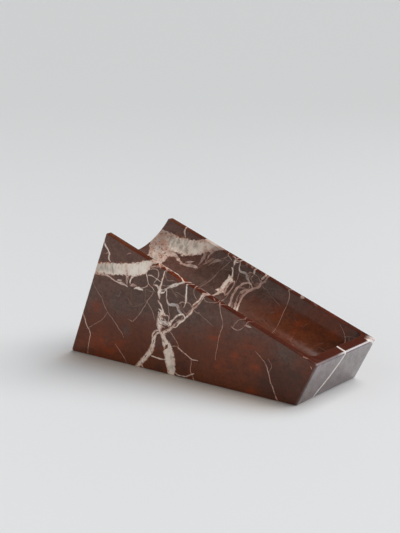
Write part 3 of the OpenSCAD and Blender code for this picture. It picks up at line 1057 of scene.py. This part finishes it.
relief = plus(times(amount, marble["veinRelief"]), times(grain, marble["grainRelief"]))
bump = make("Bump", Strength=marble["bump"], Distance=marble["bumpHeight"],
            Height=relief).outputs[0]
gloss = plus(step("gloss", fine), times(amount, marble["veinRoughness"]))
smear = make("VectorRotate", {"rotation_type": "X_AXIS"}, Vector=place,
             Angle=stretches["smearTurn"]).outputs[0]
smear = vectorCalc("MULTIPLY", smear, stretches["smear"])
coat = times(polish, step("smears", noise("smears", smear)))
shader = make("BsdfPrincipled", Base_Color=colour, Roughness=gloss, Normal=bump,
              IOR=marble["ior"], Specular_IOR_Level=marble["specular"], Coat_Weight=coat,
              Coat_Roughness=marble["coatRoughness"], Coat_IOR=marble["coatIor"])
make("OutputMaterial", Surface=shader.outputs[0])
blockMesh.materials.append(stone)
print("marble ready")

# The camera stands where the picture's own perspective puts it.
view = {
    "place": (0.6018, -0.8018, 0.3215),     # metres
    "azimuth": 37.72,                       # degrees round from the front towards the low end
    "elevation": 13.07,                     # degrees above the table
    "lens": 108.0,
    "sensor": 36.0,
}
cameraData = bpy.data.cameras.new("camera")
cameraData.lens = view["lens"]
cameraData.sensor_width = view["sensor"]
cameraData.sensor_fit = "HORIZONTAL"
camera = put("camera", cameraData)
camera.location = view["place"]
camera.rotation_euler = (math.radians(90 - view["elevation"]), 0, math.radians(view["azimuth"]))
bpy.context.scene.camera = camera

# A pale table that runs back to the horizon, under one wide soft sun and a dim overcast. Its colour
# holds painted light: lighter to the right, darker far behind, and a painted warm bounce in front
# of the block.
studio = {
    "tableReach": 70.0,                         # metres from the block to the table's edge
    "tableInner": 0.05,                         # its first ring, and how many rings and spokes
    "tableRings": 40,
    "tableSpokes": 72,
    "tableNear": (0.79, 0.795, 0.80, 1),        # its colour in front of the block
    "tableRightLit": (0.86, 0.865, 0.875, 1),      # painted light: lighter to the right of it, where more light falls
    "tableFarFalloff": (0.71, 0.72, 0.72, 1),          # painted falloff of light: darker far behind it
    "tableWarmBounce": (0.88, 0.79, 0.70, 1),         # a painted warm bounce of light from the stone, close in front
    "tableSide": (-0.1, 0.5),                   # metres to the right between which it changes
    "tableFade": (-0.5, 2.6),                   # metres behind the block between which it changes
    "bounceFront": (-0.105, -0.045),              # metres in y between which the painted warm bounce comes in
    "warmBack": (0.0, -0.03),                   # and goes again under the block
    "bounceHigh": (-0.145, -0.110),               # metres in x where it comes in at the high end
    "bounceLow": (0.085, 0.125, 1, 0),            # and where it goes at the low end
    "tableRoughness": 0.85,
    "tableSpecular": 0.1,
    "sunFrom": (0.60, 0.62, 1.25),
    "sunStrength": 2.8,
    "sunAngle": 56.0,                           # degrees across: how soft the shadow is
    "fillPlace": (-0.5, -1.7, 0.9),
    "fillSize": 1.6,
    "fillPower": 5.0,
    "horizon": (0.70, 0.71, 0.72, 1),
    "overhead": (0.10, 0.105, 0.11, 1),
    "overheadFrom": (0.12, 0.42),               # heights, from 0 to 1, between which it dims
}


# The table is a disc: rings of growing radius round the block, so the near ones are close.
def tableSurface():
    rings = np.geomspace(studio["tableInner"], studio["tableReach"], studio["tableRings"])
    radius = np.concatenate([[0.0], rings])[:, None]
    turn = np.linspace(0, 2 * math.pi, studio["tableSpokes"] + 1)[None, :]
    return np.stack([radius * np.cos(turn), radius * np.sin(turn), radius * turn * 0], axis=-1)


# The turn of a lamp at this place that makes it shine at the block.
def facing(lampPlace):
    return Vector(lampPlace).to_track_quat("Z", "Y").to_euler()


tableMesh = joinPatches("table", [tableSurface() / mm])
table = put("table", tableMesh)
tableStone = bpy.data.materials.new("table")
tree = emptyTree(tableStone)
place = make("TexCoord").outputs["Object"]
turned = make("VectorRotate", {"rotation_type": "Z_AXIS"}, Vector=place,
              Angle=-math.radians(view["azimuth"])).outputs[0]
toRight, toBack, _ = split(turned)
# painted light: the table is lighter to the right of the block and darker far behind it
pale = blend(ease(toRight, *studio["tableSide"]), studio["tableNear"], studio["tableRightLit"])
pale = blend(ease(toBack, *studio["tableFade"]), pale, studio["tableFarFalloff"])
along, across, _ = split(place)
# a painted warm bounce from the stone on the table close in front of the block
warm = ease(across, *studio["bounceFront"])
warm = times(warm, warm, ease(along, *studio["bounceHigh"]), ease(along, *studio["bounceLow"]),
             ease(across, *studio["warmBack"]))
pale = blend(warm, pale, studio["tableWarmBounce"])
shader = make("BsdfPrincipled", Base_Color=pale, Roughness=studio["tableRoughness"],
              Specular_IOR_Level=studio["tableSpecular"])
make("OutputMaterial", Surface=shader.outputs[0])
tableMesh.materials.append(tableStone)

sunData = bpy.data.lights.new("sun", "SUN")
sunData.energy = studio["sunStrength"]
sunData.angle = math.radians(studio["sunAngle"])
sun = put("sun", sunData)
sun.rotation_euler = facing(studio["sunFrom"])
fillData = bpy.data.lights.new("fill", "AREA")
fillData.size = studio["fillSize"]
fillData.energy = studio["fillPower"]
fill = put("fill", fillData)
fill.location = studio["fillPlace"]
fill.rotation_euler = facing(studio["fillPlace"])

# the sky is pale at the horizon and dims overhead
world = bpy.data.worlds.new("studio")
bpy.context.scene.world = world
tree = emptyTree(world)
up = split(make("TexCoord").outputs["Generated"])[2]
skyColour = blend(ease(up, *studio["overheadFrom"]), studio["horizon"], studio["overhead"])
sky = make("Background", Color=skyColour, Strength=1.0)
make("OutputWorld", Surface=sky.outputs[0])
bpy.context.scene.view_settings.view_transform = "Standard"
print("studio ready")
